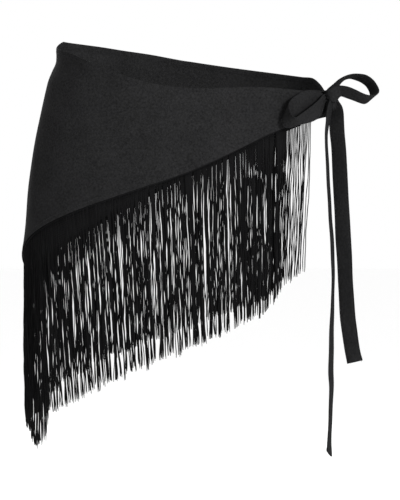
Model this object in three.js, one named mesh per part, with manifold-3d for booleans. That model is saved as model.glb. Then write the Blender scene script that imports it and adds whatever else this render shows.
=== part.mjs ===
// A triangular hip scarf as it is worn: wrapped round the hips, tied in a bow at the left hip, and edged with a
// long fringe on both slanted hems. Sizes are in millimetres. The origin is the centre of the waist opening,
// +X is the worn left side, +Y is the back and +Z is up.

import * as THREE from "three";
import { mergeGeometries, mergeVertices } from "three/addons/utils/BufferGeometryUtils.js";
import Module from "manifold-3d";

const wasm = await Module();
wasm.setup();

// Driving sizes of the cloth.
const CLOTH_THICKNESS = 1.2;
const SEAM_GAP = 0.3;
const WRAP_COLUMNS = 42;
const WRAP_ROWS = 10;

// Driving sizes of the fringe.
const HEADER_HEIGHT = 5;
const HEADER_THICKNESS = 1.8;
const STRAND_RADIUS = 0.85;
const STRAND_SPACING = 3.7;
const STRAND_SEGMENTS = 2;
const STRAND_SWAY = 0.7;
const STRAND_UNEVENNESS = 4;

// Driving sizes of the straps and the knot.
const STRAP_THICKNESS = 1.6;
const KNOT = { x: 169.5, y: -44.5, z: -42, halfWidth: 8.5, halfDepth: 16.5, halfHeight: 14.5 };
const KNOT_POWER = 3;
const KNOT_CREASE = 0.1;

// The triangle hangs with its point at this angle, over the right hip.
const POINT_ANGLE = 164;

// The outline of the hips at each height: half the width, half the depth, and the shift of its centre to the left.
const OUTLINE_POWER = 2.2;
const OUTLINE = [
  { height: -270, halfWidth: 196, halfDepth: 122, shift: -3 },
  { height: -235, halfWidth: 196, halfDepth: 122, shift: -3 },
  { height: -215, halfWidth: 193, halfDepth: 121, shift: -3 },
  { height: -190, halfWidth: 190, halfDepth: 119, shift: -3 },
  { height: -150, halfWidth: 187, halfDepth: 117, shift: -3 },
  { height: -120, halfWidth: 183, halfDepth: 115, shift: -3 },
  { height: -90, halfWidth: 178, halfDepth: 113, shift: -3 },
  { height: -60, halfWidth: 171.5, halfDepth: 110, shift: -3 },
  { height: -30, halfWidth: 164, halfDepth: 107, shift: -2.5 },
  { height: 0, halfWidth: 156.5, halfDepth: 103, shift: 0 },
  { height: 20, halfWidth: 156, halfDepth: 102, shift: 0 },
  { height: 60, halfWidth: 154, halfDepth: 100, shift: 1 },
];

// The two stretches of the wrap run round the hips from the point of the triangle to the knot. Angles are in
// degrees from the left side, through the back. Each row of edges gives the heights of the top edge and of the
// hem, and each row of strands gives how far the strands slant to the left in degrees, and their length.
const FRONT = {
  edges: [
    { angle: 164, top: 28.8, hem: -253 },
    { angle: 184, top: 20.3, hem: -220 },
    { angle: 198, top: 17.5, hem: -202 },
    { angle: 212, top: 12.1, hem: -187 },
    { angle: 226, top: 2.8, hem: -173 },
    { angle: 238, top: -5.4, hem: -161 },
    { angle: 248, top: -14.2, hem: -151 },
    { angle: 258, top: -21.6, hem: -140 },
    { angle: 266, top: -25.3, hem: -131 },
    { angle: 275, top: -27.5, hem: -117 },
    { angle: 290, top: -26.5, hem: -95 },
    { angle: 303, top: -26.5, hem: -79 },
    { angle: 320, top: -29.6, hem: -67 },
    { angle: 332, top: -30.5, hem: -63 },
    { angle: 344, top: -31, hem: -60 },
  ],
  mouth: { x: 168, y: -40, top: -32, hem: -54 },
  gatherStart: 0.83,
  fringeEnd: 324,
  strands: [
    { angle: 164, slant: 1, length: 212 },
    { angle: 184, slant: 0.5, length: 208 },
    { angle: 205, slant: 3, length: 216 },
    { angle: 226, slant: 4.3, length: 212 },
    { angle: 240, slant: 4.3, length: 204 },
    { angle: 262, slant: 3, length: 200 },
    { angle: 285, slant: 1.5, length: 200 },
    { angle: 305, slant: -0.5, length: 200 },
    { angle: 311, slant: -1.5, length: 184 },
    { angle: 324, slant: -2.5, length: 180 },
  ],
};
const BACK = {
  edges: [
    { angle: -24, top: -32, hem: -58 },
    { angle: -10, top: -30, hem: -60 },
    { angle: 0, top: -27.5, hem: -61 },
    { angle: 10, top: -22, hem: -62 },
    { angle: 20, top: -14.9, hem: -64 },
    { angle: 31, top: -13.3, hem: -68 },
    { angle: 47, top: -9.4, hem: -79 },
    { angle: 68, top: -2.9, hem: -104 },
    { angle: 86, top: 4.5, hem: -131 },
    { angle: 104, top: 14.2, hem: -164 },
    { angle: 118, top: 19.3, hem: -188 },
    { angle: 131, top: 23.5, hem: -208 },
    { angle: 146, top: 26.5, hem: -228 },
    { angle: 164, top: 28.8, hem: -253 },
  ],
  mouth: { x: 169, y: -35, top: -32, hem: -54 },
  gatherStart: 0.87,
  fringeEnd: 36,
  strands: [
    { angle: 36, slant: -1.5, length: 184 },
    { angle: 60, slant: 0, length: 196 },
    { angle: 90, slant: 1, length: 196 },
    { angle: 147, slant: 2, length: 194 },
    { angle: 153, slant: 1.5, length: 208 },
    { angle: 164, slant: 1, length: 212 },
  ],
};

// The gathers that run into the knot.
const PLEATS = 2;
const PLEAT_DEPTH = 3;
const PLEAT_REACH = 0.62;

// The straps. Each row is a place along the middle of a strap, with its width there and the direction across it:
// turn is in degrees from the worn left through the back, and lean is in degrees up from level.
const LOOP_LEFT = [
  { x: 169, y: -46, z: -41, turn: -90, lean: 90, width: 11 },
  { x: 162, y: -51, z: -39.2, turn: -90, lean: 90, width: 13.5 },
  { x: 153.4, y: -58.5, z: -38.7, turn: -90, lean: 90, width: 16.7 },
  { x: 144.2, y: -66, z: -39.2, turn: 41, lean: 86, width: 19.2 },
  { x: 135, y: -75, z: -40.6, turn: 0, lean: 83, width: 19.8 },
  { x: 126, y: -84, z: -44.8, turn: -17, lean: 80, width: 19.6 },
  { x: 119.1, y: -90.5, z: -48.7, turn: -31, lean: 72, width: 19.4 },
  { x: 114.9, y: -96, z: -52.1, turn: -21, lean: 64, width: 19.4 },
  { x: 113.5, y: -100, z: -57.2, turn: -24, lean: 61, width: 19.8 },
  { x: 115.1, y: -104, z: -62.1, turn: -40, lean: 62, width: 20 },
  { x: 118.1, y: -106, z: -65.2, turn: -71, lean: 54, width: 20 },
  { x: 122.5, y: -104.5, z: -66.1, turn: -91, lean: 37, width: 20 },
  { x: 127.9, y: -101, z: -65.5, turn: -102, lean: 27, width: 19.5 },
  { x: 135.5, y: -91.5, z: -62.3, turn: -110, lean: 37, width: 19.8 },
  { x: 144.1, y: -82, z: -58.3, turn: -122, lean: 45, width: 20 },
  { x: 151.7, y: -73, z: -53, turn: -126, lean: 47, width: 19.5 },
  { x: 156.6, y: -65, z: -46.1, turn: -119, lean: 46, width: 15.5 },
  { x: 160.2, y: -59, z: -40.5, turn: -118, lean: 53, width: 11 },
  { x: 166, y: -51, z: -37.5, turn: -128, lean: 69, width: 9 },
];
const LOOP_RIGHT = [
  { x: 169, y: -50, z: -33.3, turn: -94, lean: 62, width: 12.6 },
  { x: 179.1, y: -55.8, z: -30.6, turn: -89, lean: 45, width: 17.5 },
  { x: 186.2, y: -59, z: -32, turn: -82, lean: 42, width: 18.9 },
  { x: 194.6, y: -60.2, z: -35.2, turn: -81, lean: 39, width: 19 },
  { x: 204, y: -60, z: -39.1, turn: -81, lean: 36, width: 19 },
  { x: 213.1, y: -57.5, z: -40.3, turn: -88, lean: 24, width: 19 },
  { x: 220.4, y: -55, z: -35.5, turn: -90, lean: 19, width: 19 },
  { x: 223.8, y: -51.8, z: -31.6, turn: -86, lean: 14, width: 19 },
  { x: 221.8, y: -49, z: -30, turn: -72, lean: 20, width: 19 },
  { x: 218.5, y: -47, z: -27.3, turn: -64, lean: 26, width: 19 },
  { x: 214.6, y: -45.5, z: -21.4, turn: -65, lean: 22, width: 19 },
  { x: 208.2, y: -45, z: -16.7, turn: -68, lean: 25, width: 19 },
  { x: 201.6, y: -43.5, z: -14.5, turn: -75, lean: 22, width: 19 },
  { x: 193.8, y: -41.8, z: -13.5, turn: -84, lean: 16, width: 18.3 },
  { x: 186.8, y: -40.8, z: -15.1, turn: -92, lean: 11, width: 17.8 },
  { x: 180.7, y: -40.5, z: -19.1, turn: -102, lean: 11, width: 16.6 },
  { x: 175.1, y: -41, z: -25.3, turn: -107, lean: 21, width: 13.5 },
  { x: 168, y: -42, z: -32.4, turn: -110, lean: 34, width: 10.3 },
];
const TAIL_WIDE = [
  { x: 173.5, y: -42, z: -40, turn: -55, lean: 0, width: 13 },
  { x: 175.4, y: -43, z: -56, turn: -40, lean: 0, width: 17.5 },
  { x: 175.9, y: -44, z: -66, turn: -30, lean: 0, width: 19.5 },
  { x: 177, y: -44.5, z: -80, turn: -28, lean: 0, width: 19.5 },
  { x: 181.4, y: -44, z: -147, turn: -29, lean: 0, width: 19.5 },
  { x: 184.1, y: -43.5, z: -194, turn: -24, lean: 0, width: 19.5 },
  { x: 186.6, y: -43, z: -241, turn: -27, lean: 0, width: 19.5 },
  { x: 189.8, y: -42.5, z: -289, turn: -25, lean: 0, width: 19.5 },
  { x: 195.5, y: -42, z: -336, turn: -19, lean: 0, width: 19.5 },
  { x: 199.2, y: -42, z: -352, turn: -8, lean: 0, width: 19.5 },
];
const TAIL_NARROW = [
  { x: 168, y: -50, z: -41, turn: 75, lean: 0, width: 12 },
  { x: 167, y: -52.5, z: -57, turn: 72, lean: 0, width: 15 },
  { x: 165, y: -57.5, z: -68, turn: 75, lean: 0, width: 18 },
  { x: 163.4, y: -59, z: -88, turn: 79, lean: 0, width: 19.5 },
  { x: 164.7, y: -59.5, z: -123, turn: 79, lean: 0, width: 19.5 },
  { x: 168, y: -59, z: -170, turn: 78, lean: 0, width: 19.5 },
  { x: 170.8, y: -58.5, z: -217, turn: 77, lean: 0, width: 19.5 },
  { x: 172, y: -58, z: -264, turn: 78, lean: 0, width: 19.5 },
  { x: 170.3, y: -57.5, z: -311, turn: 76, lean: 0, width: 19.5 },
  { x: 170, y: -57.5, z: -358, turn: 75, lean: 0, width: 19.5 },
  { x: 170.4, y: -57.5, z: -385, turn: 78, lean: 0, width: 19.5 },
  { x: 168.6, y: -57, z: -430, turn: 76, lean: 0, width: 19.5 },
  { x: 168.4, y: -57, z: -461, turn: 70, lean: 0, width: 19.5 },
];
const STEPS_PER_ROW = 3;

const { lerp, smoothstep, degToRad } = THREE.MathUtils;

// Reads one column of a table at any value of its key, on a smooth curve through the rows.
function readTable(rows, key, column, value) {
  const last = rows.length - 1;
  let index = 0;
  while (index < last - 1 && value > rows[index + 1][key]) {
    index += 1;
  }
  const slopeAt = (i) => {
    const before = rows[Math.max(i - 1, 0)];
    const after = rows[Math.min(i + 1, last)];
    return (after[column] - before[column]) / (after[key] - before[key]);
  };
  const start = rows[index];
  const end = rows[index + 1];
  const span = end[key] - start[key];
  const t = THREE.MathUtils.clamp((value - start[key]) / span, 0, 1);
  const rise = t * t * (3 - 2 * t);
  const leave = t * (1 - t) * (1 - t) * span;
  const arrive = t * t * (t - 1) * span;
  return lerp(start[column], end[column], rise) + slopeAt(index) * leave + slopeAt(index + 1) * arrive;
}

function signedPower(value, power) {
  return Math.sign(value) * Math.abs(value) ** power;
}

// A point of the hip outline, and that point moved straight out from it.
function outlinePoint(angle, height, outset) {
  const halfWidth = readTable(OUTLINE, "height", "halfWidth", height);
  const halfDepth = readTable(OUTLINE, "height", "halfDepth", height);
  const shift = readTable(OUTLINE, "height", "shift", height);
  const cos = Math.cos(degToRad(angle));
  const sin = Math.sin(degToRad(angle));
  const point = new THREE.Vector3(
    shift + halfWidth * signedPower(cos, 2 / OUTLINE_POWER),
    halfDepth * signedPower(sin, 2 / OUTLINE_POWER),
    height,
  );
  const normalPower = 2 - 2 / OUTLINE_POWER;
  const outward = new THREE.Vector3(
    signedPower(cos, normalPower) / halfWidth,
    signedPower(sin, normalPower) / halfDepth,
    0,
  ).normalize();
  return point.addScaledVector(outward, outset);
}

// The middle of the cloth. Along runs from the point of the triangle to the knot, down runs from the top edge to
// the hem, and below carries on straight down past it.
function clothPoint(stretch, along, down, below = 0) {
  const angle = clothAngle(stretch, along);
  const height = lerp(
    readTable(stretch.edges, "angle", "top", angle),
    readTable(stretch.edges, "angle", "hem", angle),
    down,
  );
  const pleatStrength = smoothstep(along, PLEAT_REACH, 1);
  const outset = PLEAT_DEPTH * pleatStrength * 0.5 * (1 - Math.cos(2 * Math.PI * PLEATS * down));
  const worn = outlinePoint(angle, height - below, outset);
  const mouthHeight = lerp(stretch.mouth.top, stretch.mouth.hem, down) - below;
  const gathered = new THREE.Vector3(stretch.mouth.x, stretch.mouth.y - outset, mouthHeight);
  return worn.lerp(gathered, smoothstep(along, stretch.gatherStart, 1));
}

function clothAngle(stretch, along) {
  const angles = stretch.edges.map((row) => row.angle);
  const knotEnd = stretch === FRONT ? Math.max(...angles) : Math.min(...angles);
  return lerp(POINT_ANGLE, knotEnd, along);
}

function alongAt(stretch, angle) {
  return (angle - POINT_ANGLE) / (clothAngle(stretch, 1) - POINT_ANGLE);
}

// A closed wall on a grid of points, half its thickness to each side of them.
function wallGeometry(pointAt, columns, rows, thickness, flip) {
  const positions = [];
  const step = 1e-3;
  for (const side of [1, -1]) {
    for (let column = 0; column <= columns; column += 1) {
      for (let row = 0; row <= rows; row += 1) {
        const u = column / columns;
        const v = row / rows;
        const before = pointAt(Math.max(u - step, 0), v);
        const after = pointAt(Math.min(u + step, 1), v);
        const above = pointAt(u, Math.max(v - step, 0));
        const under = pointAt(u, Math.min(v + step, 1));
        const normal = after.sub(before).cross(under.sub(above)).normalize();
        const offset = (flip ? -side : side) * thickness / 2;
        positions.push(...pointAt(u, v).addScaledVector(normal, offset));
      }
    }
  }
  const stride = rows + 1;
  const layer = (columns + 1) * stride;
  const outer = (column, row) => column * stride + row;
  const inner = (column, row) => layer + column * stride + row;
  const indices = [];
  const quad = (a, b, c, d) => indices.push(...(flip ? [c, b, a, d, c, a] : [a, b, c, a, c, d]));
  for (let column = 0; column < columns; column += 1) {
    for (let row = 0; row < rows; row += 1) {
      quad(outer(column, row), outer(column + 1, row), outer(column + 1, row + 1), outer(column, row + 1));
      quad(inner(column, row), inner(column, row + 1), inner(column + 1, row + 1), inner(column + 1, row));
    }
    quad(inner(column, 0), inner(column + 1, 0), outer(column + 1, 0), outer(column, 0));
    quad(outer(column, rows), outer(column + 1, rows), inner(column + 1, rows), inner(column, rows));
  }
  for (let row = 0; row < rows; row += 1) {
    quad(inner(0, row), outer(0, row), outer(0, row + 1), inner(0, row + 1));
    quad(outer(columns, row), inner(columns, row), inner(columns, row + 1), outer(columns, row + 1));
  }
  return indexedGeometry(positions, indices);
}

// A closed bar through rings of points, which run counter-clockwise seen from the end that it starts at.
function barGeometry(rings) {
  const sides = rings[0].length;
  const positions = rings.flat().flatMap((point) => point.toArray());
  const indices = [];
  for (let ring = 0; ring < rings.length - 1; ring += 1) {
    for (let side = 0; side < sides; side += 1) {
      const a = ring * sides + side;
      const b = ring * sides + (side + 1) % sides;
      indices.push(a, a + sides, b, b, a + sides, b + sides);
    }
  }
  const last = (rings.length - 1) * sides;
  for (let side = 1; side < sides - 1; side += 1) {
    indices.push(0, side, side + 1);
    indices.push(last, last + side + 1, last + side);
  }
  return indexedGeometry(positions, indices);
}

function indexedGeometry(positions, indices) {
  const geometry = new THREE.BufferGeometry();
  geometry.setAttribute("position", new THREE.Float32BufferAttribute(positions, 3));
  geometry.setIndex(indices);
  return geometry;
}

function toSolid(geometry) {
  const mesh = new wasm.Mesh({
    numProp: 3,
    vertProperties: new Float32Array(geometry.attributes.position.array),
    triVerts: new Uint32Array(geometry.index.array),
  });
  return new wasm.Manifold(mesh);
}

function toGeometry(solid) {
  const mesh = solid.getMesh();
  return indexedGeometry(Array.from(mesh.vertProperties), Array.from(mesh.triVerts));
}

// A flat strap through the rows of its table, with square edges.
function strapGeometry(rows) {
  const middle = new THREE.CatmullRomCurve3(rows.map((row) => new THREE.Vector3(row.x, row.y, row.z)));
  middle.curveType = "catmullrom";
  const across = new THREE.CatmullRomCurve3(rows.map((row) => acrossDirection(row)));
  across.curveType = "catmullrom";
  const widths = new THREE.CatmullRomCurve3(rows.map((row) => new THREE.Vector3(row.width, 0, 0)));
  widths.curveType = "catmullrom";
  const steps = (rows.length - 1) * STEPS_PER_ROW;
  const rings = [];
  for (let step = 0; step <= steps; step += 1) {
    const t = step / steps;
    const centre = middle.getPoint(t);
    const forward = middle.getTangent(t);
    const side = across.getPoint(t);
    side.addScaledVector(forward, -side.dot(forward)).setLength(widths.getPoint(t).x / 2);
    const out = new THREE.Vector3().crossVectors(side, forward).setLength(STRAP_THICKNESS / 2);
    rings.push([
      centre.clone().add(side).add(out),
      centre.clone().sub(side).add(out),
      centre.clone().sub(side).sub(out),
      centre.clone().add(side).sub(out),
    ]);
  }
  return barGeometry(rings);
}

function acrossDirection({ turn, lean }) {
  const level = Math.cos(degToRad(lean));
  return new THREE.Vector3(
    level * Math.cos(degToRad(turn)),
    level * Math.sin(degToRad(turn)),
    Math.sin(degToRad(lean)),
  );
}

// The knot is a rounded block, with a crease where one strap passes over the other.
function knotGeometry(clearance) {
  const geometry = new THREE.SphereGeometry(1, 20, 14);
  geometry.deleteAttribute("normal");
  geometry.deleteAttribute("uv");
  const position = geometry.attributes.position;
  const direction = new THREE.Vector3();
  for (let index = 0; index < position.count; index += 1) {
    direction.fromBufferAttribute(position, index);
    const reach = Math.abs(direction.x) ** KNOT_POWER
      + Math.abs(direction.y) ** KNOT_POWER
      + Math.abs(direction.z) ** KNOT_POWER;
    const fromCrease = (direction.z - 0.5 * direction.x) / 0.28;
    const crease = clearance > 0 ? 0 : KNOT_CREASE * Math.exp(-fromCrease * fromCrease);
    direction.multiplyScalar((1 - crease) / reach ** (1 / KNOT_POWER));
    position.setXYZ(
      index,
      KNOT.x + direction.x * (KNOT.halfWidth + clearance),
      KNOT.y + direction.y * (KNOT.halfDepth + clearance),
      KNOT.z + direction.z * (KNOT.halfHeight + clearance),
    );
  }
  return mergeVertices(geometry, 1e-4);
}

function clearOfKnot(geometry) {
  return toGeometry(toSolid(geometry).subtract(toSolid(knotGeometry(SEAM_GAP))));
}

function wrapGeometry(stretch) {
  const halfGap = SEAM_GAP / 2 / outlineLength(stretch);
  const pointAt = (u, v) => clothPoint(stretch, lerp(halfGap, 1, u), v);
  return clearOfKnot(wallGeometry(pointAt, WRAP_COLUMNS, WRAP_ROWS, CLOTH_THICKNESS, stretch === BACK));
}

// The length of a stretch at its middle height, by which a distance is read as a share of it.
function outlineLength(stretch) {
  return hemDistances(stretch, 1, 0.5).at(-1);
}

const HEM_SAMPLES = 400;

// The distance along a stretch from the triangle's point, at evenly spaced places up to the given share of it.
function hemDistances(stretch, endAlong, down) {
  const distances = [0];
  for (let sample = 1; sample <= HEM_SAMPLES; sample += 1) {
    const here = clothPoint(stretch, endAlong * sample / HEM_SAMPLES, down);
    const before = clothPoint(stretch, endAlong * (sample - 1) / HEM_SAMPLES, down);
    distances.push(distances.at(-1) + here.distanceTo(before));
  }
  return distances;
}

// One strand: a thin three-sided cord that hangs from inside the header.
function strandGeometry(stretch, along, number) {
  const angle = clothAngle(stretch, along);
  const root = clothPoint(stretch, along, 1, SEAM_GAP + HEADER_HEIGHT / 2);
  const slant = Math.tan(degToRad(readTable(stretch.strands, "angle", "slant", angle)));
  const unevenness = STRAND_UNEVENNESS * Math.sin(number * 2.9 + Math.sin(number * 0.7));
  const length = readTable(stretch.strands, "angle", "length", angle) + unevenness;
  const rings = [];
  for (let step = 0; step <= STRAND_SEGMENTS; step += 1) {
    const drop = length * step / STRAND_SEGMENTS;
    const sway = STRAND_SWAY * Math.sin(number * 1.7 + step) * step / STRAND_SEGMENTS;
    const centre = new THREE.Vector3(root.x + slant * drop + sway, root.y, root.z - drop);
    const ring = [0, 120, 240].map((corner) => new THREE.Vector3(
      centre.x + STRAND_RADIUS * Math.cos(degToRad(angle + corner)),
      centre.y + STRAND_RADIUS * Math.sin(degToRad(angle + corner)),
      centre.z,
    ));
    rings.push(ring);
  }
  return barGeometry(rings);
}

// A fringe: its header lies just under the hem, and every strand is rooted in it.
function fringeGeometry(stretch) {
  const endAlong = alongAt(stretch, stretch.fringeEnd);
  const halfGap = SEAM_GAP / 2 / outlineLength(stretch);
  const headerColumns = Math.round(WRAP_COLUMNS * endAlong);
  const headerEnd = lerp(halfGap, 1, headerColumns / WRAP_COLUMNS);
  const headerPoint = (u, v) => clothPoint(stretch, lerp(halfGap, headerEnd, u), 1, SEAM_GAP + HEADER_HEIGHT * v);
  const header = wallGeometry(headerPoint, headerColumns, 1, HEADER_THICKNESS, stretch === BACK);
  const distances = hemDistances(stretch, headerEnd, 1);
  const count = Math.floor(distances.at(-1) / STRAND_SPACING);
  const spacing = distances.at(-1) / count;
  const strands = [];
  let sample = 0;
  for (let number = 0; number < count; number += 1) {
    const target = spacing * (number + 0.5);
    while (distances[sample + 1] < target) {
      sample += 1;
    }
    const part = (target - distances[sample]) / (distances[sample + 1] - distances[sample]);
    strands.push(strandGeometry(stretch, headerEnd * (sample + part) / HEM_SAMPLES, number));
  }
  return toGeometry(toSolid(header).add(toSolid(mergeGeometries(strands))));
}

function addPiece(group, name, geometry, material) {
  geometry.computeVertexNormals();
  const mesh = new THREE.Mesh(geometry, material.clone());
  mesh.name = name;
  group.add(mesh);
}

const crepe = new THREE.MeshStandardMaterial({ color: 0x28282a, roughness: 0.92, metalness: 0 });
const strapCrepe = new THREE.MeshStandardMaterial({ color: 0x262628, roughness: 0.88, metalness: 0 });
const chainette = new THREE.MeshStandardMaterial({ color: 0x1d1d1f, roughness: 0.62, metalness: 0 });

const scarf = new THREE.Group();
addPiece(scarf, "wrap_front", wrapGeometry(FRONT), crepe);
addPiece(scarf, "wrap_back", wrapGeometry(BACK), crepe);
addPiece(scarf, "fringe_front", fringeGeometry(FRONT), chainette);
addPiece(scarf, "fringe_back", fringeGeometry(BACK), chainette);
addPiece(scarf, "tie_knot", knotGeometry(0), strapCrepe);
addPiece(scarf, "bow_loop_left", clearOfKnot(strapGeometry(LOOP_LEFT)), strapCrepe);
addPiece(scarf, "bow_loop_right", clearOfKnot(strapGeometry(LOOP_RIGHT)), strapCrepe);
addPiece(scarf, "tail_wide", clearOfKnot(strapGeometry(TAIL_WIDE)), strapCrepe);
addPiece(scarf, "tail_narrow", clearOfKnot(strapGeometry(TAIL_NARROW)), strapCrepe);

export default scarf;
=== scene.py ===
"""A fringed hip scarf: its crepe wrap, the tied bow, the chainette fringe, the sewing and the studio."""

import math
from collections import namedtuple

import bpy
import numpy as np
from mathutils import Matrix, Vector


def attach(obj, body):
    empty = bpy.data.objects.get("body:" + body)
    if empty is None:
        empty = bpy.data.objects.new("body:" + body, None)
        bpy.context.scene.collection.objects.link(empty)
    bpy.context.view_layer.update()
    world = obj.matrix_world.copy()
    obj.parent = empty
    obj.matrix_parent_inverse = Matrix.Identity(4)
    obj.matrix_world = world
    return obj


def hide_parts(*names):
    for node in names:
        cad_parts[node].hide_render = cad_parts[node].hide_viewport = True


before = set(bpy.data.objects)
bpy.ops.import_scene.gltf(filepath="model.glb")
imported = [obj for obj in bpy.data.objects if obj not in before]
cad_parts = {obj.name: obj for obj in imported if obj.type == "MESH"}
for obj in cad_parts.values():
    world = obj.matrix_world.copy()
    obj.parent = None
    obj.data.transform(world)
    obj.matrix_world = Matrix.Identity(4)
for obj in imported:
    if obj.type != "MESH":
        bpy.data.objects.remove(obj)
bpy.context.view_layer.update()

MM = 0.001

bl_info = {
    "name": "Fringed hip scarf",
    "version": (1, 0, 0),
    "blender": (4, 5, 0),
    "location": "View3D > Sidebar > Hip scarf",
    "description": "Builds a fringed hip scarf, tied in a bow, in a plain studio",
    "category": "Add Mesh",
}

# Tables are in millimetres and degrees where they don't say metres. Angles run from the worn left side
# through the back.
Outline = namedtuple("Outline", "height half_width half_depth shift")
Edge = namedtuple("Edge", "angle top hem")
Strand = namedtuple("Strand", "angle slant length crowding")
Mouth = namedtuple("Mouth", "x y top hem")
Stretch = namedtuple("Stretch", "name edges knot_angle mouth gather_start fringe_end strands")
Fold = namedtuple("Fold", "angle height tilt length width depth")
Station = namedtuple("Station", "x y z turn lean width")
Knot = namedtuple("Knot", "x y z half_width half_depth half_height")
Crease = namedtuple("Crease", "at sway phase width depth")
Sway = namedtuple("Sway", "cycles size stray")
Strap = namedtuple("Strap", "name node stations free_end seed cut_slant flat_length")
Softbox = namedtuple("Softbox", "name location size energy target")

OUTLINE_POWER = 2.2
OUTLINE = [
    Outline(-270, 196, 122, -3),
    Outline(-235, 196, 122, -3),
    Outline(-215, 193, 121, -3),
    Outline(-190, 190, 119, -3),
    Outline(-150, 187, 117, -3),
    Outline(-120, 183, 115, -3),
    Outline(-90, 178, 113, -3),
    Outline(-60, 171.5, 110, -3),
    Outline(-30, 165.2, 107, -2.5),
    Outline(-18, 163, 105.5, -1.5),
    Outline(-6, 159, 103.8, -0.4),
    Outline(3, 155.4, 102.6, 0),
    Outline(20, 155, 102, 0),
    Outline(60, 154, 100, 1),
]

# The point of the triangle hangs at this angle, and both stretches of cloth run from it to the knot.
POINT_ANGLE = 164
FRONT = Stretch(
    name="front",
    edges=[
        Edge(164, 28.8, -253),
        Edge(184, 20.3, -220),
        Edge(198, 17.5, -202),
        Edge(212, 12.1, -187),
        Edge(226, 2.8, -173),
        Edge(238, -5.4, -161),
        Edge(248, -14.2, -151),
        Edge(258, -21.6, -140),
        Edge(266, -25.3, -131),
        Edge(275, -27.5, -117),
        Edge(290, -26.5, -95),
        Edge(303, -26.5, -79),
        Edge(320, -29.6, -67),
        Edge(332, -30.5, -63),
        Edge(344, -31, -60),
    ],
    knot_angle=344,
    mouth=Mouth(168, -40, -32, -54),
    gather_start=0.83,
    fringe_end=324,
    strands=[
        Strand(164, 1, 206, 1.0),
        Strand(170, 1, 200, 0.92),
        Strand(184, 0.5, 197, 0.8),
        Strand(205, 3, 215, 0.95),
        Strand(226, 4.3, 212, 1.0),
        Strand(240, 4.3, 204, 1.18),
        Strand(262, 3, 200, 1.08),
        Strand(285, 1.5, 200, 1.0),
        Strand(302, -0.5, 200, 0.98),
        Strand(311, -1.5, 188, 0.9),
        Strand(314, -1.8, 184, 0.52),
        Strand(324, -2.5, 180, 0.48),
    ],
)
BACK = Stretch(
    name="back",
    edges=[
        Edge(-24, -32, -58),
        Edge(-10, -30, -60),
        Edge(0, -27.5, -61),
        Edge(10, -22, -62),
        Edge(20, -14.9, -64),
        Edge(31, -13.3, -68),
        Edge(47, -9.4, -79),
        Edge(68, -2.9, -104),
        Edge(86, 4.5, -131),
        Edge(104, 14.2, -164),
        Edge(118, 19.3, -188),
        Edge(131, 23.5, -208),
        Edge(146, 26.5, -228),
        Edge(164, 28.8, -253),
    ],
    knot_angle=-24,
    mouth=Mouth(169, -35, -32, -54),
    gather_start=0.87,
    fringe_end=36,
    strands=[
        Strand(36, -1.5, 184, 0.3),
        Strand(45, -1, 186, 0.35),
        Strand(47, -0.8, 188, 0.95),
        Strand(60, 0, 196, 1.2),
        Strand(90, 1, 186, 1.2),
        Strand(120, 2, 172, 1.05),
        Strand(151.5, 2, 168, 1.05),
        Strand(153.5, 1.5, 209, 1.0),
        Strand(164, 1, 212, 1.0),
    ],
)

# The gathers that run into the knot.
PLEATS = 2
PLEAT_DEPTH = 3
PLEAT_REACH = 0.62

# The rows of the cloth's grid, and how its hems thicken it.
BACK_COLUMNS = 200
FRONT_COLUMNS = 210
INNER_ROWS = 50
HEM_STEP_INSIDE = 0.7
HEM_STEP_OUTSIDE = 0.8
HEM_PROUD_OUTSIDE = 0.06
HEM_PROUD_INSIDE = 0.65
HEM_STITCH_INSET = 1.2

# Soft creases in the cloth. Each lies at an angle and height, tilted up from level. It is a ridge or, where
# its depth is below nought, a trough. They fade towards the edges of the cloth.
FOLD_RADIUS = 150
FOLD_EDGE_SHARE = 0.35
FOLD_EDGE_REACH = 0.12
FOLDS = [
    Fold(206, -12, -38, 62, 9, 0.9),
    Fold(214, 4, -32, 46, 7, -2.2),
    Fold(214, -44, -50, 70, 12, -0.8),
    Fold(232, -60, -56, 82, 14, 0.7),
    Fold(196, -120, -82, 70, 11, 0.7),
    Fold(186, -160, -88, 60, 9, -0.8),
    Fold(218, -140, -70, 60, 13, -0.5),
    Fold(250, -92, -24, 64, 12, 0.6),
    Fold(268, -74, -10, 58, 8, -0.7),
    Fold(284, -58, 2, 52, 6, 1.0),
    Fold(292, -44, 6, 46, 4.5, -0.9),
    Fold(300, -66, 14, 40, 5, -0.9),
    Fold(309, -52, 8, 34, 4, 1.2),
    Fold(276, -98, 16, 48, 8, 0.6),
    Fold(150, -70, 84, 76, 13, 0.9),
    Fold(132, -110, 72, 82, 12, -0.9),
    Fold(118, -40, 52, 66, 11, 0.7),
    Fold(98, -78, 34, 64, 11, -0.8),
    Fold(80, -50, 20, 56, 9, 0.9),
    Fold(58, -44, 10, 46, 6, -0.9),
    Fold(40, -40, 4, 40, 5, 1.0),
    Fold(24, -46, -4, 34, 5, -0.9),
    Fold(168, -180, 88, 60, 10, 0.8),
]

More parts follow.
